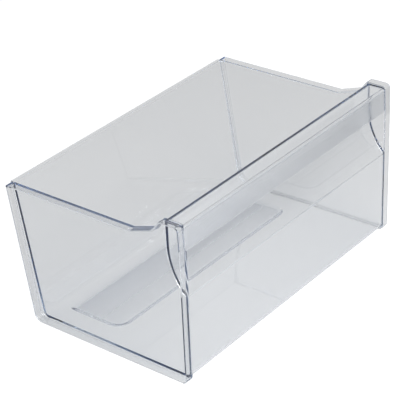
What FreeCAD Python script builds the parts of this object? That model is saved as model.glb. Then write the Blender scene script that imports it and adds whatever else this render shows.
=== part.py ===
import FreeCAD
import Part
import os
from math import atan2, cos, radians, sin, tan

# Crisper drawer for a refrigerator, moulded in clear styrene plastic.
# Millimetres, with X along the front, Y from front to back and Z up.
# The origin is the middle of the resting face. In the side view, depths are
# counted backwards from the foremost face and heights from the resting face.

# Overall size
overall_width = 444.0
overall_depth = 284.0

# Wall thicknesses
body_wall = 2.5
panel_wall = 2.5
flange_edge_wall = 1.9

# Side rims and floor above the resting face, and the handle above the side rims
rim_height = 195.0
floor_clearance = 3.6
handle_rise = 25.0

# Handle section across the top of the front wall
handle_depth = 27.6
lip_height = 34.0
grip_depth = 29.8
grip_slope = 48.0
crease_depth = 1.9
crease_height = 123.0

# Lower front wall, floor and back wall
front_foot_depth = 5.7
back_foot_depth = 252.3
back_rim_width = 6.0

# Bend radii on the middle of the body wall
lip_bend_radius = 3.0
handle_bend_radius = 2.4
crease_bend_radius = 3.6
floor_bend_radius = 7.0
rim_bend_radius = 2.6

# End panels, each a plate inside a flange that stands outwards
end_flange = 12.0
panel_rise = 2.2
panel_heel_depth = 258.5
panel_rim_setback = 2.5
brow_radius = 6.0
cheek_radius = 60.0
toe_radius = 6.5
heel_radius = 11.0
back_corner_radius = 1.5
recess_corner_radius = 2.4
recess_root_radius = 1.2

# Side rim, level from the back and then ramped up to the handle
ramp_foot_depth = 78.0
ramp_head_depth = 41.0
ramp_rise = 12.0
shoulder_depth = 29.5
ramp_foot_radius = 14.0
ramp_head_radius = 12.0
shoulder_radius = 4.5

# Shallow sunken panel in the floor, near the back wall
sink_foot_gap = 0.5
sink_side_margin = 31.0
sink_front_depth = 148.0
sink_back_gap = 17.0
sink_front_radius = 18.0
sink_back_radius = 5.0
sink_taper = 4.5

# Seat that holds each end of the body in its end panel
seat_depth = 0.8
seat_clearance = 0.15

# Sizes that follow from the ones above
inner_width = overall_width - 2 * end_flange
front_face = -overall_depth / 2
half_wall = body_wall / 2
handle_height = rim_height + handle_rise
lip_foot = handle_height - lip_height
floor_middle = floor_clearance + half_wall
floor_top = floor_clearance + body_wall
sink_depth = floor_clearance - sink_foot_gap
sink_back_depth = back_foot_depth - sink_back_gap
panel_top = handle_height + panel_rise


def side(depth, height):
    """Point of the side view, as (Y, Z)."""
    return (front_face + depth, height)


def minus(a, b):
    return (a[0] - b[0], a[1] - b[1])


def along(start, direction, distance):
    return (start[0] + direction[0] * distance, start[1] + direction[1] * distance)


def length(a):
    return (a[0] ** 2 + a[1] ** 2) ** 0.5


def unit(a):
    size = length(a)
    return (a[0] / size, a[1] / size)


def left_of(a):
    """The direction turned a quarter turn to the left."""
    return (-a[1], a[0])


def turn_between(a, b):
    """Signed angle from direction a to direction b."""
    return atan2(a[0] * b[1] - a[1] * b[0], a[0] * b[0] + a[1] * b[1])


def shifted_bend(before, corner, after, radius, shift):
    """Start, middle and end of the arc that rounds a corner, moved to the left by shift."""
    way_in = unit(minus(corner, before))
    way_out = unit(minus(after, corner))
    turn = turn_between(way_in, way_out)
    hand = 1 if turn > 0 else -1
    reach = radius * tan(abs(turn) / 2)
    start = along(corner, way_in, -reach)
    end = along(corner, way_out, reach)
    centre = along(start, left_of(way_in), hand * radius)
    middle = along(centre, unit(minus(corner, centre)), radius)
    return [along(point, unit(minus(centre, point)), hand * shift) for point in (start, middle, end)]


def rounded_path(corners, radii, shift=0.0):
    """Lines and arcs through the corners, moved to the left by shift.

    The first and last corners are the ends. Each corner between has a radius.
    """
    edges = []
    here = along(corners[0], left_of(unit(minus(corners[1], corners[0]))), shift)
    for i in range(1, len(corners) - 1):
        before, corner, after = corners[i - 1:i + 2]
        start, middle, end = shifted_bend(before, corner, after, radii[i - 1], shift)
        edges.append(("line", here, start))
        edges.append(("arc", start, middle, end))
        here = end
    last = left_of(unit(minus(corners[-1], corners[-2])))
    edges.append(("line", here, along(corners[-1], last, shift)))
    return edges


def reversed_path(edges):
    return [(edge[0],) + tuple(reversed(edge[1:])) for edge in reversed(edges)]


def side_plane(x):
    """Places the points of the side view at X."""
    return lambda point: FreeCAD.Vector(x, point[0], point[1])


def floor_plane(height):
    """Places the points of the plan view at a height."""
    return lambda point: FreeCAD.Vector(point[0], point[1], height)


def wire_on(plane, edges):
    """One wire from lines and arcs, on the given plane."""
    shapes = []
    for edge in edges:
        points = [plane(point) for point in edge[1:]]
        if edge[0] == "line":
            shapes.append(Part.makeLine(points[0], points[1]))
        else:
            shapes.append(Part.Arc(points[0], points[1], points[2]).toShape())
    return Part.Wire(shapes)


def bar(edges, x_from, x_to):
    """Solid of one side-view section between two places along X."""
    face = Part.Face(wire_on(side_plane(x_from), edges))
    return face.extrude(FreeCAD.Vector(x_to - x_from, 0, 0))


def strip_outline(corners, radii, thickness):
    """Closed outline of a wall that follows a path and has round free edges."""
    one_side = rounded_path(corners, radii, thickness / 2)
    other_side = reversed_path(rounded_path(corners, radii, -thickness / 2))
    end_way = unit(minus(corners[-1], corners[-2]))
    start_way = unit(minus(corners[0], corners[1]))
    far_tip = along(corners[-1], end_way, thickness / 2)
    near_tip = along(corners[0], start_way, thickness / 2)
    far_cap = ("arc", one_side[-1][-1], far_tip, other_side[0][1])
    near_cap = ("arc", other_side[-1][-1], near_tip, one_side[0][1])
    return one_side + [far_cap] + other_side + [near_cap]


def closed_outline(corners, radii):
    """Closed outline with every corner rounded."""
    count = len(corners)
    bends = []
    for i in range(count):
        following = corners[(i + 1) % count]
        bends.append(shifted_bend(corners[i - 1], corners[i], following, radii[i], 0.0))
    edges = []
    for i in range(count):
        start, middle, end = bends[i]
        edges.append(("arc", start, middle, end))
        edges.append(("line", end, bends[(i + 1) % count][0]))
    return edges


def body_path():
    """Middle line of the body wall, from the lip round to the back rim, and its radii."""
    grip_middle = grip_depth - half_wall
    crease_middle = crease_depth + half_wall
    knee_height = crease_height + (grip_middle - crease_middle) * tan(radians(grip_slope))
    lip_end = side(half_wall, lip_foot + half_wall)
    lip_top = side(half_wall, handle_height - half_wall)
    handle_back = side(handle_depth - half_wall, handle_height - half_wall)
    knee = side(grip_middle, knee_height)
    crease = side(crease_middle, crease_height)
    front_foot = side(front_foot_depth + half_wall, floor_middle)
    back_foot = side(back_foot_depth - half_wall, floor_middle)
    back_top = side(overall_depth - back_rim_width - half_wall, rim_height - half_wall)
    rim_end = side(overall_depth - half_wall, rim_height - half_wall)
    corners = [lip_end, lip_top, handle_back, knee, crease]
    corners += [front_foot, back_foot, back_top, rim_end]
    crease_turn = turn_between(minus(crease, knee), minus(front_foot, crease))
    crease_reach = crease_bend_radius * tan(abs(crease_turn) / 2)
    knee_turn = turn_between(minus(knee, handle_back), minus(crease, knee))
    knee_reach = length(minus(crease, knee)) - crease_reach - half_wall
    knee_radius = knee_reach / tan(abs(knee_turn) / 2)
    radii = [lip_bend_radius, handle_bend_radius, knee_radius, crease_bend_radius]
    radii += [floor_bend_radius, floor_bend_radius, rim_bend_radius]
    return corners, radii


def sink_wire(height, margin):
    """Rounded outline of the sunken floor panel, grown by margin."""
    right = inner_width / 2 - sink_side_margin + margin
    front = front_face + sink_front_depth - margin
    back = front_face + sink_back_depth + margin
    corners = [(-right, front), (right, front), (right, back), (-right, back)]
    front_radius = sink_front_radius + margin
    back_radius = sink_back_radius + margin
    radii = [front_radius, front_radius, back_radius, back_radius]
    return wire_on(floor_plane(height), closed_outline(corners, radii))


def sink_block(top, bottom, margin):
    """Tapered block with the outline of the sunken floor panel."""
    wires = [sink_wire(top, margin), sink_wire(bottom, margin - sink_taper)]
    return Part.makeLoft(wires, True, True)


def drawer_body():
    """Handle, front, floor, back and back rim as one wall of constant section."""
    corners, radii = body_path()
    reach = inner_width / 2 + seat_depth
    body = bar(strip_outline(corners, radii, body_wall), -reach, reach)
    outside = sink_block(floor_clearance + half_wall, sink_foot_gap, body_wall)
    inside = sink_block(floor_top, floor_top - sink_depth, 0.0)
    return body.fuse(outside).cut(inside).removeSplitter()


def panel_corners():
    """Corners of an end panel in the side view, from the brow round the foot, and radii."""
    toe_depth = front_foot_depth * lip_foot / (lip_foot - floor_middle)
    corners = [
        side(0, panel_top),
        side(0, lip_foot),
        side(toe_depth, 0),
        side(panel_heel_depth, 0),
        side(overall_depth - panel_rim_setback, rim_height),
        side(ramp_foot_depth, rim_height),
        side(ramp_head_depth, rim_height + ramp_rise),
        side(shoulder_depth, panel_top),
    ]
    radii = [brow_radius, cheek_radius, toe_radius, heel_radius]
    radii += [back_corner_radius, ramp_foot_radius, ramp_head_radius, shoulder_radius]
    return corners, radii


def recess_outline(wall):
    """The outline of an end panel drawn in by a wall."""
    corners, radii = panel_corners()
    count = len(corners)
    inner_corners = []
    inner_radii = []
    for i in range(count):
        way_in = unit(minus(corners[i], corners[i - 1]))
        way_out = unit(minus(corners[(i + 1) % count], corners[i]))
        turn = turn_between(way_in, way_out)
        half_way = unit(along(left_of(way_in), left_of(way_out), 1.0))
        inner_corners.append(along(corners[i], half_way, wall / cos(turn / 2)))
        hand = 1 if turn > 0 else -1
        inner_radii.append(max(radii[i] - hand * wall, recess_corner_radius))
    return closed_outline(inner_corners, inner_radii)


def end_panel(hand):
    """End panel on the side of the drawer that hand gives, -1 left or 1 right."""
    inner_face = hand * inner_width / 2
    outer_face = hand * overall_width / 2
    plate_face = inner_face + hand * panel_wall
    block = bar(closed_outline(*panel_corners()), inner_face, outer_face)
    mouth = wire_on(side_plane(outer_face), recess_outline(flange_edge_wall))
    root = wire_on(side_plane(plate_face), recess_outline(panel_wall))
    recess = Part.makeLoft([mouth, root], True, True)
    root_edges = []
    for edge in recess.Edges:
        if abs(edge.CenterOfMass.x - plate_face) < 0.01:
            root_edges.append(edge)
    recess = recess.makeFillet(recess_root_radius, root_edges)
    corners, radii = body_path()
    seat_outline = strip_outline(corners, radii, body_wall + 2 * seat_clearance)
    seat = bar(seat_outline, inner_face, inner_face + hand * seat_depth)
    return block.cut(recess).cut(seat)


os.makedirs("parts", exist_ok=True)
parts = {
    "drawer_body": drawer_body(),
    "left_end_panel": end_panel(-1),
    "right_end_panel": end_panel(1),
}
for name, shape in parts.items():
    shape.exportStep("parts/" + name + ".step")
    print(name, "solids", len(shape.Solids), "valid", shape.isValid(), round(shape.Volume))
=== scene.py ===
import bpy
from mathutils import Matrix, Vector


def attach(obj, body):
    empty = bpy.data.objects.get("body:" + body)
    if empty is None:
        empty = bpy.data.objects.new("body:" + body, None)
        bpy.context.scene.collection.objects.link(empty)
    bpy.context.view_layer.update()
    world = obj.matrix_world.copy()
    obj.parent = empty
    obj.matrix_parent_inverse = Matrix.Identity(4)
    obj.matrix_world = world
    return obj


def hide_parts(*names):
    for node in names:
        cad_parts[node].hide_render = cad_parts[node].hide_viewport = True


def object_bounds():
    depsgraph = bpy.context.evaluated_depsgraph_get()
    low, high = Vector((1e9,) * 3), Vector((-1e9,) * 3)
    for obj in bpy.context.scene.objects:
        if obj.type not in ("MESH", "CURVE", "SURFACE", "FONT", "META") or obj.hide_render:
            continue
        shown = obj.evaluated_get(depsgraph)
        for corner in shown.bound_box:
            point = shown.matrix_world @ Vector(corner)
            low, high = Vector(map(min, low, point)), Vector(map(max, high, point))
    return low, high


bl_info = {
    "name": "Crisper drawer",
    "version": (1, 0, 0),
    "blender": (4, 5, 0),
    "location": "3D View > Sidebar > Crisper",
    "description": "Clear moulded crisper drawer for a refrigerator, with its studio",
    "category": "Object",
}

from math import atan2, cos, pi, radians, sin, tan

import bmesh
import bpy
from bpy.props import FloatProperty, FloatVectorProperty, IntProperty, PointerProperty, StringProperty
from mathutils import Matrix, Vector

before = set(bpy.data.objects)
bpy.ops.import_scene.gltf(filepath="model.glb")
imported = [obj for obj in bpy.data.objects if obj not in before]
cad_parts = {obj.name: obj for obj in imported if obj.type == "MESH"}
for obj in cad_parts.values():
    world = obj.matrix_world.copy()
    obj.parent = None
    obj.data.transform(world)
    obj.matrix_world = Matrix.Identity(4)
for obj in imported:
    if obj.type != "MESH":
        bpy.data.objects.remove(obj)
CAD_BOX = [list(corner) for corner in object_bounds()]
LOW, HIGH = (Vector(corner) for corner in CAD_BOX)
BODY = "root"
PLASTIC = "Clear polystyrene, polished mould"
HANDLE_CORNER = 2  # corner of the wall's path at the back of the handle
FACING = 0.999  # least share of a face's normal that lies along an axis it faces
SAME_HEIGHT = 1e-5  # metres between two heights that count as one
MERGE = 1e-6  # metres between points that the node tree makes one
SHARP_ANGLE = radians(32)  # edges above it stay sharp
AREA_WEIGHT = 100  # pull of the largest faces on the normals, the most there is
FLOW_DETAIL = {"Detail": 2.0, "Roughness": 0.4}  # the flow waves have little fine detail
FLOW_RANGE = (0.3, 0.7)  # noise values between which the gloss varies
GLOSS_SPREAD = 0.5  # how far the roughness strays from its middle, as a share of it
CARD_HALF = 0.5  # half the side of a card before it is scaled
FLAG_CORE = 0.1  # radius within which a flag is fully dark, as a share of its size


def length(name, description, default):
    """A size in metres that a user can change."""
    return FloatProperty(name=name, description=description, default=default, unit="LENGTH", precision=5)


def angle(name, description, degrees):
    """An angle that a user can change."""
    return FloatProperty(name=name, description=description, default=radians(degrees), subtype="ANGLE")


def amount(name, description, default):
    """A plain number that a user can change."""
    return FloatProperty(name=name, description=description, default=default, precision=4)


def count(name, description, default):
    """A whole number that a user can change."""
    return IntProperty(name=name, description=description, default=default, min=2)


def point(name, description, default):
    """A place in metres that a user can change."""
    return FloatVectorProperty(
        name=name, description=description, default=default, subtype="TRANSLATION")


def spread(name, description, default):
    """The two sides of a rectangle in metres that a user can change."""
    return FloatVectorProperty(
        name=name, description=description, default=default, size=2, unit="LENGTH")


def colour(name, description, default):
    """A colour as an sRGB hex value that a user can change."""
    return StringProperty(name=name, description=description, default=default)


class BodySizes(bpy.types.PropertyGroup):
    """Side-view section of the body wall. Depths are counted back from the front face."""

    wall: length("Wall", "Thickness of the handle, front, floor and back", 0.0025)
    lip_height: length("Lip height", "Height of the hanging lip at the front of the handle", 0.034)
    handle_height: length("Handle height", "Top of the handle above the resting edges", 0.220)
    handle_depth: length("Handle depth", "Depth of the flat top of the handle", 0.0276)
    grip_depth: length("Grip depth", "Depth of the finger pocket behind the front face", 0.0298)
    grip_slope: angle("Grip slope", "Slope of the ledge under the fingers", 48)
    crease_depth: length("Crease depth", "How far the crease lies behind the lip", 0.0019)
    crease_height: length("Crease height", "Height at which the ledge meets the lower front", 0.123)
    front_foot: length("Front foot", "Depth at which the front wall meets the floor", 0.0057)
    back_foot: length("Back foot", "Depth at which the floor meets the back wall", 0.2523)
    back_rim: length("Back rim", "Width of the rim that turns out at the top of the back wall", 0.006)
    rim_height: length("Rim height", "Height of the back rim and of the side rims", 0.195)
    clearance: length("Floor clearance", "Underside of the floor above the resting edges", 0.0036)
    lip_bend: length("Lip bend", "Bend radius at the top of the lip", 0.003)
    handle_edge: length("Handle edge", "Radius outside the bend at the back of the handle", 0.0006)
    handle_root: length("Handle root", "Radius inside that bend", 0.0024)
    crease_bend: length("Crease bend", "Bend radius of the crease", 0.0036)
    floor_bend: length("Floor bend", "Bend radius at the front and back of the floor", 0.007)
    rim_bend: length("Rim bend", "Bend radius under the back rim", 0.0026)
    lip_satin: amount("Lip satin", "Satin of the lip, as a share of the deepest satin", 0.35)
    steps: count("Bend steps", "Flat steps in each bend", 16)
    bead_width: length("Bead width", "How far the weld bead runs along the wall", 0.0022)
    bead_height: length("Bead height", "How far the weld bead stands off the wall", 0.0010)
    seam_gap: length("Seam gap", "Gap between the two faces of a weld", 0.00005)


class SinkSizes(bpy.types.PropertyGroup):
    """Shallow sunken panel in the floor, near the back wall."""

    side_margin: length("Side margin", "From the end panel to the sunken panel", 0.031)
    front_depth: length("Front depth", "Depth of its front edge behind the front face", 0.148)
    back_gap: length("Back gap", "From its back edge to the foot of the back wall", 0.017)
    foot_gap: length("Foot gap", "Its underside above the resting edges", 0.0005)
    front_radius: length("Front radius", "Corner radius at the front", 0.018)
    back_radius: length("Back radius", "Corner radius at the back", 0.005)
    least_corner: length("Least corner", "Smallest corner radius at its foot", 0.002)
    taper: length("Taper", "How far its sides draw in", 0.0085)
    # Satin grows from this share at the front to full at the back edge, so the satin shade tint paints
    # contact shade darkest at the back edge.
    front_satin_and_shade: amount("Front satin", "Satin at its front edge, as a share of its back edge's", 0.4)
    steps: count("Slope steps", "Rings down its soft side", 8)


class PanelSizes(bpy.types.PropertyGroup):
    """End panels, each a plate inside a flange that stands outwards."""

    flange: length("Flange", "How far the flange stands out from the inner face", 0.012)
    plate: length("Plate", "Thickness of the plate", 0.0025)
    edge_wall: length("Flange edge", "Thickness of the flange at its outer edge", 0.0019)
    rise: length("Rise", "How far the panel stands above the handle", 0.0022)
    heel_depth: length("Heel depth", "Depth at which the resting edge ends", 0.2585)
    rim_setback: length("Rim setback", "Back rim beyond the panel's back corner", 0.0025)
    ramp_foot: length("Ramp foot", "Depth at which the side rim starts to rise", 0.078)
    ramp_head: length("Ramp head", "Depth at which the side rim steps up to the handle", 0.041)
    ramp_rise: length("Ramp rise", "Height of the gentle ramp", 0.012)
    shoulder: length("Shoulder", "Depth of the shoulder beside the handle", 0.0295)
    edge_round: length("Edge round", "Radius on the panel's edges", 0.0004)
    root_round: length("Root round", "Radius where the plate meets the flange", 0.0012)
    least_corner: length("Least corner", "Smallest corner radius in the recess", 0.0024)
    brow: length("Brow", "Corner radius at the top front", 0.006)
    cheek: length("Cheek", "Radius of the soft bend at the foot of the lip", 0.060)
    toe: length("Toe", "Corner radius at the bottom front", 0.0065)
    heel: length("Heel", "Corner radius at the bottom back", 0.011)
    back_corner: length("Back corner", "Corner radius at the top back", 0.0015)
    ramp_foot_bend: length("Ramp foot bend", "Radius where the ramp starts", 0.014)
    ramp_head_bend: length("Ramp head bend", "Radius where the ramp ends", 0.012)
    shoulder_bend: length("Shoulder bend", "Corner radius at the shoulder", 0.0045)
    bead_inset: length("Bead inset", "Least distance of the weld bead from the panel's edge", 0.0006)
    weld_stop: length("Weld stop", "End of the weld under the back rim, before the back face", 0.0045)
    weld_edge: length("Weld edge", "Weld kept inside the faces of the wall", 0.00003)
    steps: count("Corner steps", "Flat steps in each corner", 12)
    round_steps: count("Round steps", "Flat steps across each rounded edge", 4)


class PlasticLook(bpy.types.PropertyGroup):
    """Clear general purpose polystyrene."""

    tint: colour("Tint", "Colour that the surface passes", "#FFFFFF")
    depth_tint: colour("Depth tint", "Colour of a long way through the plastic", "#3F88BC")
    absorption: amount("Absorption", "How fast the plastic darkens, per metre", 10.0)
    ior: amount("IOR", "Refractive index", 1.59)
    roughness: amount("Roughness", "Roughness of the moulded polish", 0.02)
    # Satin shade tint: painted shade that darkens the lip and the sunken panel as far as their satin
    # value goes.
    satin_shade_tint: colour("Satin tint", "Colour that the satin areas pass", "#ECEEF2")
    satin_roughness: amount("Satin roughness", "Roughness of the deepest satin", 0.4)
    flow_size: length("Flow size", "Width of the faint waves left by the flow into the mould", 0.045)
    flow_height: length("Flow height", "Height of those waves", 0.00002)
    lamp_pass: colour("Lamp light", "Share of lamp light that each surface passes", "#FBFBFB")


class StudioLook(bpy.types.PropertyGroup):
    """Floor, lamps and camera."""

    floor: colour("Floor", "Colour of the paper floor", "#C1C2C3")
    sky: colour("Sky", "Colour of the room", "#FFFFFF")
    horizon: amount("Horizon level", "Brightness of the room at eye level", 0.71)
    zenith: amount("Zenith level", "Brightness of the ceiling", 0.93)
    key: amount("Key light", "Power of the large soft lamp, in watts", 41.0)
    key_place: point("Key place", "Middle of the large soft lamp", (-1.8, -2.6, 3.0))
    key_size: length("Key size", "Side of the large soft lamp", 2.2)
    fill: amount("Fill light", "Power of the fill lamp, in watts", 4.2)
    fill_place: point("Fill place", "Middle of the fill lamp", (-0.12, -0.65, 0.5))
    fill_size: length("Fill size", "Side of the fill lamp", 0.4)
    glow: amount("Floor lift", "Light added to the floor as the camera sees it", 0.5)
    glass_share: amount("Share for glass", "Share of that lift that mirrored and passed rays see", 0.12)
    reach: length("Floor reach", "From the middle of the floor to its edges", 12.0)
    black: colour("Black", "Colour of the black cards", "#202428")
    grey: colour("Grey", "Colour of the grey card", "#8C8F94")
    front_card_place: point("Front card place", "Middle of the black card on the floor",
                            (0.85, -0.81, 0.001))
    front_card_size: spread("Front card size", "Width and depth of that card", (1.6, 1.0))
    front_card_fade: amount("Front card fade", "Share of its width over which it thins out", 0.28)
    near_flag_place: point("Near flag place", "Middle of the slim black flag at the right",
                           (0.655, -0.76, 0.08))
    near_flag_size: spread("Near flag size", "Width and height of that flag", (0.26, 0.9))
    far_flag_place: point("Far flag place", "Middle of the wide grey flag behind it", (0.9, -0.82, 0.2))
    far_flag_size: spread("Far flag size", "Width and height of that flag", (0.7, 1.2))
    bounces: count("Bounces", "Turns that light may take inside the plastic", 128)
    target: point("Target", "Point that the camera looks at", (0.0210, 0.0306, 0.08885))
    azimuth: angle("Azimuth", "Camera azimuth, 0 in front and positive to the right", -49.281)
    elevation: angle("Elevation", "Camera elevation", 29.706)
    roll: angle("Roll", "Camera roll", -4.121)
    distance: length("Distance", "From the camera to its target", 2.109)
    lens: amount("Lens", "Focal length in millimetres on a 36 mm sensor", 141.3)


SETTINGS = {
    "crisper_body": BodySizes,
    "crisper_sink": SinkSizes,
    "crisper_panel": PanelSizes,
    "crisper_plastic": PlasticLook,
    "crisper_studio": StudioLook,
}


def settings(name):
    """The scene's settings of one group."""
    return getattr(bpy.context.scene, "crisper_" + name)


def minus(a, b):
    """Step from b to a."""
    return (a[0] - b[0], a[1] - b[1])


def along(start, direction, distance):
    """Place at a distance from start in a direction."""
    return (start[0] + direction[0] * distance, start[1] + direction[1] * distance)


def size_of(a):
    """Length of a step."""
    return (a[0] ** 2 + a[1] ** 2) ** 0.5


def unit(a):
    """The step's direction, with length 1."""
    return (a[0] / size_of(a), a[1] / size_of(a))


def left_of(a):
    """The direction turned a quarter turn to the left."""
    return (-a[1], a[0])


def turned(a, turn):
    """The direction turned to the left by an angle."""
    return (a[0] * cos(turn) - a[1] * sin(turn), a[0] * sin(turn) + a[1] * cos(turn))


def turn_between(a, b):
    """Signed angle from direction a to direction b."""
    return atan2(a[0] * b[1] - a[1] * b[0], a[0] * b[0] + a[1] * b[1])


def bend(before, corner, after, radius, steps, shift=0.0):
    """Points on the arc that rounds a corner, moved to the left of the path by shift."""
    way_in = unit(minus(corner, before))
    turn = turn_between(way_in, minus(after, corner))
    hand = 1 if turn > 0 else -1
    start = along(corner, way_in, -radius * tan(abs(turn) / 2))
    centre = along(start, left_of(way_in), hand * radius)
    spoke = unit(minus(start, centre))
    reach = radius - hand * shift
    return [along(centre, turned(spoke, turn * i / steps), reach) for i in range(steps + 1)]


def side(depth, height):
    """Point of the side view, as (Y, Z)."""
    return (LOW.y + depth, height)


def wall_path(s):
    """Corners and bend radii of the middle line of the body wall, lip first. The radius at the
    back of the handle is the one inside the bend."""
    half = s.wall / 2
    depth = HIGH.y - LOW.y
    grip = s.grip_depth - half
    crease = s.crease_depth + half
    floor = s.clearance + half
    knee_height = s.crease_height + (grip - crease) * tan(s.grip_slope)
    corners = [
        side(half, s.handle_height - s.lip_height + half),
        side(half, s.handle_height - half),
        side(s.handle_depth - half, s.handle_height - half),
        side(grip, knee_height),
        side(crease, s.crease_height),
        side(s.front_foot + half, floor),
        side(s.back_foot - half, floor),
        side(depth - s.back_rim - half, s.rim_height - half),
        side(depth - half, s.rim_height - half),
    ]
    ledge = minus(corners[4], corners[3])
    crease_turn = turn_between(ledge, minus(corners[5], corners[4]))
    knee_turn = turn_between(minus(corners[3], corners[2]), ledge)
    knee_reach = size_of(ledge) - s.crease_bend * tan(abs(crease_turn) / 2) - half
    knee_bend = knee_reach / tan(abs(knee_turn) / 2)
    radii = [s.lip_bend, s.handle_root, knee_bend, s.crease_bend, s.floor_bend, s.floor_bend, s.rim_bend]
    return corners, radii


def mitre(before, corner, after, shift):
    """Step from a corner to the same corner of the path moved to its left by shift."""
    way_in = unit(minus(corner, before))
    way_out = unit(minus(after, corner))
    half_way = unit(along(left_of(way_in), left_of(way_out), 1.0))
    return [part * shift / cos(turn_between(way_in, way_out) / 2) for part in half_way]


def shifted_path(corners, radii, shift, steps):
    """The path with its bends rounded, moved to its left by shift. Its left is the top of the
    handle and the inside of the drawer. The bend at the back of the handle has its sharper edge
    there."""
    points = [along(corners[0], left_of(unit(minus(corners[1], corners[0]))), shift)]
    for i, radius in enumerate(radii, 1):
        three = corners[i - 1:i + 2]
        if i == HANDLE_CORNER:
            step = mitre(*three, shift)
            moved = [along(place, step, 1.0) for place in three]
            points += bend(*moved, settings("body").handle_edge if shift > 0 else radius, steps)
        else:
            points += bend(*three, radius, steps, shift)
    points.append(along(corners[-1], left_of(unit(minus(corners[-1], corners[-2]))), shift))
    return points


def half_round(centre, start, steps):
    """Points inside the half circle that runs clockwise from start."""
    spoke = minus(start, centre)
    return [along(centre, turned(spoke, -pi * i / steps), 1.0) for i in range(1, steps)]


def inside(place, outline):
    """Whether a point of the side view lies inside a closed outline."""
    hits = 0
    for one, two in zip(outline, outline[1:] + outline[:1]):
        if (one[1] > place[1]) != (two[1] > place[1]):
            share = (place[1] - one[1]) / (two[1] - one[1])
            hits += place[0] < one[0] + share * (two[0] - one[0])
    return hits % 2 == 1


def with_bead(plain, grown):
    """The plain outline, moved out to the grown one where that leaves the panel's edge free."""
    s = settings("panel")
    corners, radii = panel_corners()
    edge = closed_ring(corners, radii, s.steps, s.bead_inset)
    return [two if inside(two, edge) else one for one, two in zip(plain, grown)]


def weld_outline():
    """Closed outline of the weld between the body wall and an end panel, with its bead."""
    body = settings("body")
    s = settings("panel")
    corners, radii = wall_path(body)
    corners[-1] = side(HIGH.y - LOW.y - s.weld_stop, body.rim_height - body.wall / 2)
    half = body.wall / 2 - s.weld_edge
    plain, grown = (
        shifted_path(corners, radii, h, body.steps) + shifted_path(corners, radii, -h, body.steps)[::-1]
        for h in (half, half + body.bead_height))
    return with_bead(plain, grown)


def wall_outline(s, grow=0.0):
    """Closed outline of the body wall in the side view, with round free edges."""
    corners, radii = wall_path(s)
    inner = shifted_path(corners, radii, s.wall / 2 + grow, s.steps)
    outer = shifted_path(corners, radii, -s.wall / 2 - grow, s.steps)[::-1]
    ends = [half_round(corners[-1], inner[-1], s.steps), half_round(corners[0], outer[-1], s.steps)]
    return inner + ends[0] + outer + ends[1]


def closed_ring(corners, radii, steps, inset=0.0, least_radius=0.0):
    """Closed outline with every corner rounded, drawn in by inset."""
    total = len(corners)
    moved = []
    bends = []
    for i in range(total):
        way_in = unit(minus(corners[i], corners[i - 1]))
        way_out = unit(minus(corners[(i + 1) % total], corners[i]))
        turn = turn_between(way_in, way_out)
        half_way = unit(along(left_of(way_in), left_of(way_out), 1.0))
        moved.append(along(corners[i], half_way, inset / cos(turn / 2)))
        bends.append(max(radii[i] - (1 if turn > 0 else -1) * inset, least_radius))
    points = []
    for i in range(total):
        points += bend(moved[i - 1], moved[i], moved[(i + 1) % total], bends[i], steps)
    return points


def add_node(tree, kind, settings=None, links=None, values=None):
    """One node with its settings, its linked inputs and its plain values."""
    node = tree.nodes.new(kind)
    for key, value in (settings or {}).items():
        setattr(node, key, value)
    for key, value in (values or {}).items():
        node.inputs[key].default_value = value
    for key, socket in (links or {}).items():
        tree.links.new(socket, node.inputs[key])
    return node


def section_bar_tree():
    """Node tree that turns one closed outline into a bar along X, closed at both ends."""
    tree = bpy.data.node_groups.new("Section bar", "GeometryNodeTree")
    for name, way, kind in (("Outline", "INPUT", "Geometry"), ("Width", "INPUT", "Float"),
                            ("Material", "INPUT", "Material"), ("Bar", "OUTPUT", "Geometry")):
        tree.interface.new_socket(name, in_out=way, socket_type="NodeSocket" + kind)
    given = add_node(tree, "NodeGroupInput").outputs
    cap = add_node(tree, "GeometryNodeFillCurve", {"mode": "NGONS"}, {
        "Curve": given["Outline"]}).outputs["Mesh"]
    bar = add_node(tree, "GeometryNodeExtrudeMesh", {"mode": "FACES"}, {
        "Mesh": cap, "Offset Scale": given["Width"]}, {"Individual": False}).outputs["Mesh"]
    back = add_node(tree, "GeometryNodeFlipFaces", links={"Mesh": cap}).outputs["Mesh"]
    joined = add_node(tree, "GeometryNodeJoinGeometry", links={"Geometry": bar})
    tree.links.new(back, joined.inputs["Geometry"])
    merged = add_node(tree, "GeometryNodeMergeByDistance", links={
        "Geometry": joined.outputs["Geometry"]}, values={"Distance": MERGE}).outputs["Geometry"]
    half = add_node(tree, "ShaderNodeMath", {"operation": "MULTIPLY"}, {0: given["Width"]}, {1: -0.5})
    start = add_node(tree, "ShaderNodeCombineXYZ", links={"X": half.outputs["Value"]}).outputs["Vector"]
    upright = add_node(tree, "GeometryNodeTransform", links={"Geometry": merged, "Translation": start},
                       values={"Rotation": (pi / 2, 0, pi / 2)}).outputs["Geometry"]
    real = add_node(tree, "GeometryNodeRealizeInstances", links={"Geometry": upright})
    clad = add_node(tree, "GeometryNodeSetMaterial", links={
        "Geometry": real.outputs["Geometry"], "Material": given["Material"]})
    add_node(tree, "NodeGroupOutput", links={"Bar": clad.outputs["Geometry"]})
    return tree


def set_input(modifier, name, value):
    """Sets a Geometry Nodes input by its socket's identifier."""
    for item in modifier.node_group.interface.items_tree:
        if item.item_type == "SOCKET" and item.in_out == "INPUT" and item.name == name:
            modifier[item.identifier] = value


def finished_mesh(obj):
    """The object's mesh with its modifiers done, and the object removed."""
    bpy.context.view_layer.update()
    graph = bpy.context.evaluated_depsgraph_get()
    mesh = bpy.data.meshes.new_from_object(
        obj.evaluated_get(graph), preserve_all_data_layers=True, depsgraph=graph)
    bpy.data.objects.remove(obj)
    return mesh


def linked(name, data):
    """A new object in the scene."""
    obj = bpy.data.objects.new(name, data)
    bpy.context.scene.collection.objects.link(obj)
    return obj


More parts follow.
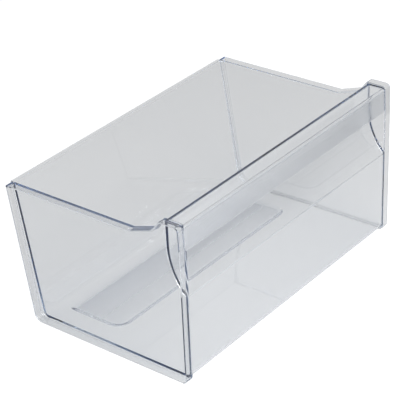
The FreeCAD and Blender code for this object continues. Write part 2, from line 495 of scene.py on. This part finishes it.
def section_bar(outline, width, material):
    """Bar along X whose section is the outline, made by the node tree."""
    curve = bpy.data.curves.new("outline", "CURVE")
    spline = curve.splines.new("POLY")
    spline.points.add(len(outline) - 1)
    for place, (y, z) in zip(spline.points, outline):
        place.co = (y, z, 0, 1)
    spline.use_cyclic_u = True
    holder = linked("outline", curve)
    modifier = holder.modifiers.new("Section bar", "NODES")
    modifier.node_group = section_bar_tree()
    set_input(modifier, "Width", width)
    set_input(modifier, "Material", material)
    return finished_mesh(holder)


def skin(bm, rings):
    """Faces between rings of equal counts. Returns the vertices of each ring."""
    loops = [[bm.verts.new(place) for place in ring] for ring in rings]
    for one, two in zip(loops, loops[1:]):
        for i in range(len(one)):
            bm.faces.new((one[i - 1], one[i], two[i], two[i - 1]))
    return loops


def sunken_panel(bm, height, level, grow):
    """Replaces the level face of the floor at a height by one with the sunken panel in it."""
    s = settings("sink")
    body = settings("body")
    flat = [f for f in bm.faces
            if abs(f.normal.z) > FACING and abs(f.calc_center_median().z - height) < SAME_HEIGHT]
    rim_edges = [e for f in flat for e in f.edges if len([g for g in e.link_faces if g in flat]) == 1]
    bmesh.ops.delete(bm, geom=flat, context="FACES_KEEP_BOUNDARY")
    right = HIGH.x - settings("panel").flange - s.side_margin + grow
    front = LOW.y + s.front_depth - grow
    back = LOW.y + body.back_foot - s.back_gap + grow
    corners = [(-right, front), (right, front), (right, back), (-right, back)]
    radii = [s.front_radius + grow] * 2 + [s.back_radius + grow] * 2
    rings = []
    for i in range(s.steps + 1):
        t = i / s.steps
        ring = closed_ring(corners, radii, settings("panel").steps, s.taper * t, s.least_corner)
        z = height + (level - height) * (3 - 2 * t) * t * t
        rings.append([(x, y, z) for x, y in ring])
    # Satin grows down the soft side and toward the back edge: satin roughness, with painted contact
    # shade darkest at the back edge.
    satin = bm.verts.layers.float["satin"]
    loops = skin(bm, rings)
    for i, loop in enumerate(loops):
        for vert in loop:
            depth = (vert.co.y - front) / (back - front)
            vert[satin] = i / s.steps * (s.front_satin_and_shade + (1 - s.front_satin_and_shade) * depth)
    mouth = loops[0]
    bm.faces.new(loops[-1])
    mouth_edges = [bm.edges.get((mouth[i - 1], mouth[i])) for i in range(len(mouth))]
    bmesh.ops.triangle_fill(bm, use_beauty=True, use_dissolve=False, edges=rim_edges + mouth_edges)


def weld_beads(bm):
    """Flares the two ends of the body wall by the weld bead."""
    body = settings("body")
    plain = wall_outline(body)
    flared = with_bead(plain, wall_outline(body, body.bead_height))
    for cap in [f for f in bm.faces if abs(f.normal.x) > FACING]:
        hand = 1 if cap.normal.x > 0 else -1
        root = list(cap.verts)
        bmesh.ops.delete(bm, geom=[cap], context="FACES_ONLY")
        rim = []
        for vert in root:
            place = (vert.co.y, vert.co.z)
            near = min(range(len(plain)), key=lambda i: size_of(minus(plain[i], place)))
            rim.append(bm.verts.new((vert.co.x + hand * body.bead_width, *flared[near])))
        for i in range(len(root)):
            bm.faces.new((root[i - 1], root[i], rim[i], rim[i - 1]))
        bm.faces.new(rim)
    bmesh.ops.recalc_face_normals(bm, faces=bm.faces)


def mark_places(bm):
    """Marks the welded ends of the body wall, and the satin of its lip."""
    body = settings("body")
    weld = bm.faces.layers.float.new("weld")
    for face in bm.faces:
        face[weld] = float(abs(face.normal.x) > FACING)
    satin = bm.verts.layers.float["satin"]
    lip_foot = body.handle_height - body.lip_height
    lip_head = body.handle_height - body.lip_bend
    for vert in bm.verts:
        if vert.co.y < LOW.y + body.lip_bend and lip_foot <= vert.co.z < lip_head:
            vert[satin] = body.lip_satin


def finish_piece(name, mesh, material, nodes):
    """Gives a finished mesh smooth bends and flat walls, and puts it in place of its CAD node."""
    mesh.materials.clear()
    mesh.materials.append(material)
    mesh.shade_smooth()
    mesh.set_sharp_from_angle(angle=SHARP_ANGLE)
    holder = linked(name, mesh)
    weighted = holder.modifiers.new("Flat walls", "WEIGHTED_NORMAL")
    weighted.keep_sharp = True
    weighted.weight = AREA_WEIGHT
    piece = linked(name, finished_mesh(holder))
    piece.name = piece.data.name = name
    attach(piece, BODY)
    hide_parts(*nodes)
    return piece


def panel_corners():
    """Corners of an end panel in the side view, from the brow round the foot, and radii."""
    body = settings("body")
    s = settings("panel")
    lip_foot = body.handle_height - body.lip_height
    top = body.handle_height + s.rise
    toe = body.front_foot * lip_foot / (lip_foot - body.clearance - body.wall / 2)
    corners = [
        side(0, top),
        side(0, lip_foot),
        side(toe, 0),
        side(s.heel_depth, 0),
        side(HIGH.y - LOW.y - s.rim_setback, body.rim_height),
        side(s.ramp_foot, body.rim_height),
        side(s.ramp_head, body.rim_height + s.ramp_rise),
        side(s.shoulder, top),
    ]
    radii = [s.brow, s.cheek, s.toe, s.heel, s.back_corner,
             s.ramp_foot_bend, s.ramp_head_bend, s.shoulder_bend]
    return corners, radii


def panel_profile(s):
    """Section of the panel from its inner face round the flange to the plate, as (out, inset,
    least radius). At its root the flange is as thick as the plate."""
    steps = s.round_steps
    quarter = [pi / 2 * i / steps for i in range(steps + 1)]
    e, r = s.edge_round, s.root_round
    profile = [(0.0, 0.0, 0.0)]
    profile += [(s.flange - e + e * sin(a), e - e * cos(a), 0.0) for a in quarter]
    profile += [
        (s.flange - e + e * cos(a), s.edge_wall - e + e * sin(a), s.least_corner) for a in quarter]
    profile += [(s.plate + r - r * sin(a), s.plate + r - r * cos(a), s.least_corner) for a in quarter]
    return profile


def end_panel_mesh(hand):
    """Mesh of the end panel on the side that hand gives, -1 left or 1 right."""
    s = settings("panel")
    corners, radii = panel_corners()
    bm = bmesh.new()
    rings = []
    for out, inset, least in panel_profile(s):
        x = hand * (HIGH.x - s.flange + out)
        rings.append([(x, y, z) for y, z in closed_ring(corners, radii, s.steps, inset, least)])
    loops = skin(bm, rings)
    inner = loops[0]
    bm.faces.new(loops[-1])
    seam = [bm.verts.new((rings[0][0][0], y, z)) for y, z in weld_outline()]
    mark = bm.faces.layers.float.new("weld")
    weld = bm.faces.new(seam)
    weld[mark] = 1.0
    inner_edges = [bm.edges.get((inner[i - 1], inner[i])) for i in range(len(inner))]
    bmesh.ops.triangle_fill(
        bm, use_beauty=True, use_dissolve=False, edges=inner_edges + list(weld.edges))
    bmesh.ops.recalc_face_normals(bm, faces=bm.faces)
    mesh = bpy.data.meshes.new("end_panel")
    bm.to_mesh(mesh)
    bm.free()
    return mesh


def linear(hex_colour):
    """sRGB hex value as linear red, green, blue and a full alpha."""
    shares = [int(hex_colour[i:i + 2], 16) / 255 for i in (1, 3, 5)]
    return tuple(v / 12.92 if v <= 0.04045 else ((v + 0.055) / 1.055) ** 2.4 for v in shares) + (1.0,)


def clear_styrene():
    """Clear general purpose polystyrene from a polished mould: sharp gloss, thin walls that
    look like air, and edges that go dark blue where the eye looks along the sheet. At the
    welds the plastic runs on from the body into the end panel, and the lip and the sunken
    panel look like breathed-on glass, with painted shade from the satin shade tint that is
    darkest at the sunken panel's back edge."""
    s = settings("plastic")
    mat = bpy.data.materials.new(PLASTIC)
    mat.use_nodes = True
    tree = mat.node_tree
    tree.nodes.clear()
    # The satin value gives real satin roughness and also mixes in the satin shade tint, which is painted
    # shade.
    satin = add_node(tree, "ShaderNodeAttribute", {"attribute_name": "satin"}).outputs["Fac"]
    colour = add_node(tree, "ShaderNodeMix", {"data_type": "RGBA"}, {0: satin}, {
        6: linear(s.tint), 7: linear(s.satin_shade_tint)}).outputs[2]
    place = add_node(tree, "ShaderNodeTexCoord").outputs["Object"]
    flow = add_node(tree, "ShaderNodeTexNoise", links={"Vector": place}, values={
        "Scale": 1 / s.flow_size, **FLOW_DETAIL}).outputs["Fac"]
    rough = add_node(tree, "ShaderNodeMapRange", links={"Value": flow}, values={
        "From Min": FLOW_RANGE[0], "From Max": FLOW_RANGE[1],
        "To Min": (1 - GLOSS_SPREAD) * s.roughness,
        "To Max": (1 + GLOSS_SPREAD) * s.roughness}).outputs["Result"]
    gloss = add_node(tree, "ShaderNodeMix", {"data_type": "FLOAT"}, {0: satin, 2: rough}, {
        3: s.satin_roughness}).outputs[0]
    waves = add_node(tree, "ShaderNodeBump", links={"Height": flow}, values={
        "Strength": 1.0, "Distance": s.flow_height}).outputs["Normal"]
    wall = add_node(tree, "ShaderNodeBsdfPrincipled", links={
        "Base Color": colour, "Roughness": gloss, "Normal": waves}, values={
        "IOR": s.ior, "Transmission Weight": 1.0})
    ray = add_node(tree, "ShaderNodeLightPath").outputs
    passing = add_node(tree, "ShaderNodeBsdfTransparent", values={"Color": linear(s.lamp_pass)})
    lit = add_node(tree, "ShaderNodeMixShader", links={
        0: ray["Is Shadow Ray"], 1: wall.outputs["BSDF"], 2: passing.outputs["BSDF"]})
    surface = add_node(tree, "ShaderNodeMixShader", links={
        0: ray["Is Diffuse Ray"], 1: lit.outputs["Shader"], 2: passing.outputs["BSDF"]})
    weld = add_node(tree, "ShaderNodeAttribute", {"attribute_name": "weld"}).outputs["Fac"]
    fused = add_node(tree, "ShaderNodeBsdfTransparent")
    joined = add_node(tree, "ShaderNodeMixShader", links={
        0: weld, 1: surface.outputs["Shader"], 2: fused.outputs["BSDF"]})
    depth = add_node(tree, "ShaderNodeVolumeAbsorption", values={
        "Color": linear(s.depth_tint), "Density": s.absorption})
    add_node(tree, "ShaderNodeOutputMaterial", links={
        "Surface": joined.outputs["Shader"], "Volume": depth.outputs["Volume"]})
    return mat


def plastic():
    """The one plastic of all three pieces."""
    return bpy.data.materials.get(PLASTIC) or clear_styrene()


def floor_material():
    """Pale paper floor. The camera sees it lifted to white, and rays that the plastic mirrors
    or passes see a small share of that lift."""
    s = settings("studio")
    mat = bpy.data.materials.new("White paper sweep")
    mat.use_nodes = True
    tree = mat.node_tree
    tree.nodes.clear()
    paper = add_node(tree, "ShaderNodeBsdfDiffuse", values={"Color": linear(s.floor)})
    ray = add_node(tree, "ShaderNodeLightPath").outputs
    glass = add_node(tree, "ShaderNodeMath", {"operation": "MAXIMUM"}, {
        0: ray["Is Glossy Ray"], 1: ray["Is Transmission Ray"]}).outputs["Value"]
    share = add_node(tree, "ShaderNodeMath", {"operation": "MULTIPLY"}, {0: glass}, {
        1: s.glass_share}).outputs["Value"]
    seen = add_node(tree, "ShaderNodeMath", {"operation": "MAXIMUM"}, {
        0: ray["Is Camera Ray"], 1: share}).outputs["Value"]
    strength = add_node(tree, "ShaderNodeMath", {"operation": "MULTIPLY"}, {0: seen}, {
        1: s.glow}).outputs["Value"]
    glow = add_node(tree, "ShaderNodeEmission", links={"Strength": strength})
    surface = add_node(tree, "ShaderNodeAddShader", links={
        0: paper.outputs["BSDF"], 1: glow.outputs["Emission"]})
    add_node(tree, "ShaderNodeOutputMaterial", links={"Surface": surface.outputs["Shader"]})
    return mat


def square(name, half):
    """Mesh of a level square about the origin."""
    mesh = bpy.data.meshes.new(name)
    places = [(-half, -half, 0), (half, -half, 0), (half, half, 0), (-half, half, 0)]
    mesh.from_pydata(places, [], [(0, 1, 2, 3)])
    return mesh


def card_material(name, dark, fade):
    """Matt dark card that only reflections see. It thins out toward its rim, or toward -X
    over the share of its width that fade gives."""
    mat = bpy.data.materials.new(name)
    mat.use_nodes = True
    tree = mat.node_tree
    tree.nodes.clear()
    place = add_node(tree, "ShaderNodeTexCoord").outputs["Object"]
    if fade:
        across = add_node(tree, "ShaderNodeSeparateXYZ", links={"Vector": place}).outputs["X"]
        start, end = -CARD_HALF, -CARD_HALF + fade
    else:
        across = add_node(tree, "ShaderNodeVectorMath", {"operation": "LENGTH"}, {
            0: place}).outputs["Value"]
        start, end = CARD_HALF, FLAG_CORE
    cover = add_node(tree, "ShaderNodeMapRange", {"interpolation_type": "SMOOTHSTEP"}, {
        "Value": across}, {"From Min": start, "From Max": end}).outputs["Result"]
    black = add_node(tree, "ShaderNodeBsdfDiffuse", values={"Color": linear(dark)})
    gone = add_node(tree, "ShaderNodeBsdfTransparent")
    both = add_node(tree, "ShaderNodeMixShader", links={
        0: cover, 1: gone.outputs["BSDF"], 2: black.outputs["BSDF"]})
    add_node(tree, "ShaderNodeOutputMaterial", links={"Surface": both.outputs["Shader"]})
    return mat


def stage_card(name, place, size, normal, dark, fade):
    """One dark card of the stage, seen by reflections alone."""
    card = linked(name, square(name, CARD_HALF))
    card.data.materials.append(card_material(name, dark, fade))
    turn = Matrix() if normal.z > FACING else normal.to_track_quat("Z", "Y").to_matrix().to_4x4()
    card.matrix_world = Matrix.Translation(Vector(place)) @ turn @ Matrix.Diagonal((*size, 1, 1))
    card.visible_camera = card.visible_diffuse = card.visible_transmission = card.visible_shadow = False


def studio_world():
    """Room with a bright ceiling and dimmer walls. The camera sees it white."""
    s = settings("studio")
    world = bpy.data.worlds.new("Studio")
    world.use_nodes = True
    tree = world.node_tree
    tree.nodes.clear()
    way = add_node(tree, "ShaderNodeTexCoord").outputs["Generated"]
    up = add_node(tree, "ShaderNodeSeparateXYZ", links={"Vector": way}).outputs["Z"]
    level = add_node(tree, "ShaderNodeMapRange", {"interpolation_type": "SMOOTHSTEP"}, {"Value": up}, {
        "From Min": 0.0, "From Max": 1.0, "To Min": s.horizon, "To Max": s.zenith}).outputs["Result"]
    room = add_node(tree, "ShaderNodeBackground", links={"Strength": level}, values={
        "Color": linear(s.sky)})
    white = add_node(tree, "ShaderNodeBackground", values={"Color": (1, 1, 1, 1), "Strength": 1.0})
    seen = add_node(tree, "ShaderNodeLightPath").outputs["Is Camera Ray"]
    both = add_node(tree, "ShaderNodeMixShader", links={
        0: seen, 1: room.outputs["Background"], 2: white.outputs["Background"]})
    add_node(tree, "ShaderNodeOutputWorld", links={"Surface": both.outputs["Shader"]})
    return world


class CRISPER_OT_body(bpy.types.Operator):
    """Makes the body wall with its handle, grip, floor and back"""

    bl_idname = "crisper.body"
    bl_label = "Body wall"

    def execute(self, context):
        s = settings("body")
        material = plastic()
        width = HIGH.x - LOW.x - 2 * (settings("panel").flange + s.seam_gap + s.bead_width)
        mesh = section_bar(wall_outline(s), width, material)
        bm = bmesh.new()
        bm.from_mesh(mesh)
        bm.verts.layers.float.new("satin")
        bmesh.ops.recalc_face_normals(bm, faces=bm.faces)
        weld_beads(bm)
        drop = s.clearance - settings("sink").foot_gap
        sunken_panel(bm, s.clearance + s.wall, s.clearance + s.wall - drop, 0.0)
        sunken_panel(bm, s.clearance, s.clearance - drop, s.wall)
        bmesh.ops.recalc_face_normals(bm, faces=bm.faces)
        mark_places(bm)
        bm.to_mesh(mesh)
        bm.free()
        finish_piece("clear_body", mesh, material, ["drawer_body"])
        return {"FINISHED"}


class CRISPER_OT_end_panels(bpy.types.Operator):
    """Makes the two end panels with their flanges"""

    bl_idname = "crisper.end_panels"
    bl_label = "End panels"

    def execute(self, context):
        material = plastic()
        for word, hand in (("left", -1), ("right", 1)):
            mesh = end_panel_mesh(hand)
            finish_piece(f"clear_{word}_panel", mesh, material, [f"{word}_end_panel"])
        return {"FINISHED"}


class CRISPER_OT_studio(bpy.types.Operator):
    """Sets out the floor, the lamps, the world and the camera"""

    bl_idname = "crisper.studio"
    bl_label = "Studio"

    def execute(self, context):
        s = settings("studio")
        floor = linked("floor", square("floor", s.reach))
        floor.data.materials.append(floor_material())
        for name in ("key", "fill"):
            lamp = bpy.data.lights.new(name, "AREA")
            lamp.energy = getattr(s, name)
            lamp.size = getattr(s, name + "_size")
            place = Vector(getattr(s, name + "_place"))
            aim = (Vector(s.target) - place).to_track_quat("-Z", "Y").to_matrix().to_4x4()
            linked(name, lamp).matrix_world = Matrix.Translation(place) @ aim
        upward = Vector((0, 0, 1))
        stage_card(
            "front_card", s.front_card_place, s.front_card_size, upward, s.black, s.front_card_fade)
        for name, dark in (("near_flag", s.black), ("far_flag", s.grey)):
            place = Vector(getattr(s, name + "_place"))
            inward = Vector((-place.x, -place.y, 0))
            stage_card(name, place, getattr(s, name + "_size"), inward, dark, 0.0)
        context.scene.world = studio_world()
        level = cos(s.elevation)
        back = Vector((sin(s.azimuth) * level, -cos(s.azimuth) * level, sin(s.elevation)))
        right = upward.cross(back).normalized()
        up = back.cross(right)
        rolled_right = cos(s.roll) * right + sin(s.roll) * up
        rolled_up = cos(s.roll) * up - sin(s.roll) * right
        data = bpy.data.cameras.new("Camera")
        data.lens = s.lens
        camera = linked("Camera", data)
        turn = Matrix((rolled_right, rolled_up, back)).transposed().to_4x4()
        camera.matrix_world = Matrix.Translation(Vector(s.target) + s.distance * back) @ turn
        context.scene.camera = camera
        context.scene.view_settings.view_transform = "Standard"
        for limit in ("max", "glossy", "transmission", "transparent_max"):
            setattr(context.scene.cycles, limit + "_bounces", s.bounces)
        return {"FINISHED"}


class CRISPER_PT_panel(bpy.types.Panel):
    """Lists the settings and the steps"""

    bl_idname = "CRISPER_PT_panel"
    bl_label = "Crisper drawer"
    bl_space_type = "VIEW_3D"
    bl_region_type = "UI"
    bl_category = "Crisper"

    def draw(self, context):
        for operator in OPERATORS:
            self.layout.operator(operator.bl_idname)
        for name, group in SETTINGS.items():
            box = self.layout.box()
            box.label(text=group.__doc__)
            for key in group.__annotations__:
                box.prop(getattr(context.scene, name), key)


OPERATORS = (CRISPER_OT_body, CRISPER_OT_end_panels, CRISPER_OT_studio)
CLASSES = (*SETTINGS.values(), *OPERATORS, CRISPER_PT_panel)


def register():
    for cls in CLASSES:
        bpy.utils.register_class(cls)
    for name, group in SETTINGS.items():
        setattr(bpy.types.Scene, name, PointerProperty(type=group))


def unregister():
    for name in SETTINGS:
        delattr(bpy.types.Scene, name)
    for cls in reversed(CLASSES):
        bpy.utils.unregister_class(cls)


def main():
    register()
    bpy.ops.crisper.body()
    bpy.ops.crisper.end_panels()
    bpy.ops.crisper.studio()


if __name__ == "__main__":
    main()
